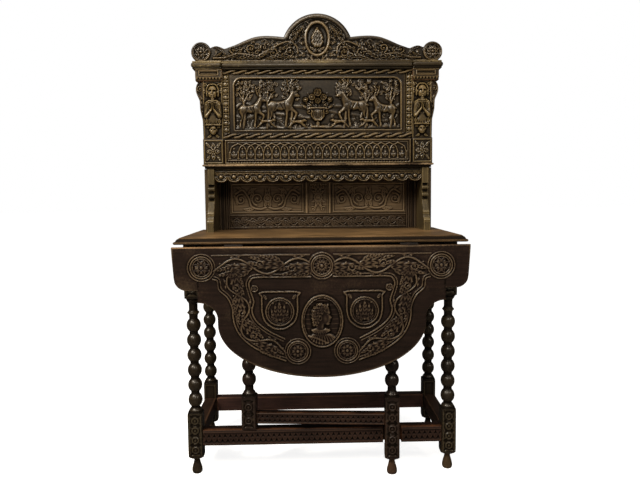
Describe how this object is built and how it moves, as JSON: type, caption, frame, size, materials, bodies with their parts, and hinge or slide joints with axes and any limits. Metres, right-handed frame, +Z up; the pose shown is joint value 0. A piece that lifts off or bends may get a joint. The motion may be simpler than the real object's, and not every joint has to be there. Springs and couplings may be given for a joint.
{
  "type": "gate-leg server",
  "caption": "Carved dark oak server: bobbin-turned gate-leg table with a hinged drop leaf, and a low open gallery under a carved hood with an arched cresting.",
  "frame": {"origin": "on the floor under the middle of the piece's bounding box, leaf hanging", "axes": "+Z up, +Y towards the wall behind, +X to the right seen from the front"},
  "size_m": [0.886, 0.4672, 1.4989],
  "materials": {
    "oak": "dark stained, waxed and worn",
    "iron": "blackened, slightly rusted"
  },
  "bodies": {
    "frame": {"back_apron": "oak", "back_stretcher": "oak", "bracket_left": "oak", "bracket_right": "oak", "cabinet_back": "oak", "cabinet_end_left": "oak", "cabinet_end_right": "oak", "capital_left": "oak", "capital_right": "oak", "corner_block_left": "oak", "corner_block_right": "oak", "cornice": "oak", "crest": "oak", "frame_pegs": "oak", "frieze_board": "oak", "front_apron": "oak", "front_stretcher": "oak", "gallery_end_left": "oak", "gallery_end_right": "oak", "gallery_lintel": "oak", "gallery_muntin": "oak", "gallery_panel_left": "oak", "gallery_panel_right": "oak", "gallery_sill": "oak", "gallery_stile_left": "oak", "gallery_stile_right": "oak", "hinge_pins": "iron", "hinge_plate_left": "iron", "hinge_plate_right": "iron", "hinge_screws_top": "iron", "leg_back_left": "oak", "leg_back_right": "oak", "leg_front_left": "oak", "leg_front_right": "oak", "pilaster_left": "oak", "pilaster_right": "oak", "relief_panel": "oak", "scalloped_valance": "oak", "shelf_board": "oak", "side_apron_left": "oak", "side_apron_right": "oak", "side_console_left": "oak", "side_console_right": "oak", "side_moulding_left": "oak", "side_moulding_right": "oak", "side_stretcher_left": "oak", "side_stretcher_right": "oak", "table_top": "oak", "twist_moulding_lower": "oak", "twist_moulding_upper": "oak"},
    "leaf": {"drop_leaf": "oak", "leaf_stop": "oak", "hinge_strap_left": "iron", "hinge_strap_right": "iron", "hinge_screws_leaf": "iron"},
    "gate": {"gate_post": "oak", "gate_leg": "oak", "gate_lower_rail": "oak", "gate_upper_rail": "oak", "gate_pegs": "oak"}
  },
  "joints": [
    {"name": "leaf_raise", "type": "hinge", "parent": "frame", "child": "leaf", "pos_m": [0, -0.20835, 0.7347], "axis": [-1, 0, 0], "range_deg": [0, 90]},
    {"name": "gate_swing", "type": "hinge", "parent": "frame", "child": "gate", "pos_m": [-0.232, -0.11735, 0], "axis": [0, 0, -1], "range_deg": [-4.3, 56]}
  ],
  "couplings": [
    {"joint": "gate_swing", "follows": "leaf_raise", "ratio": 0.1}
  ]
}
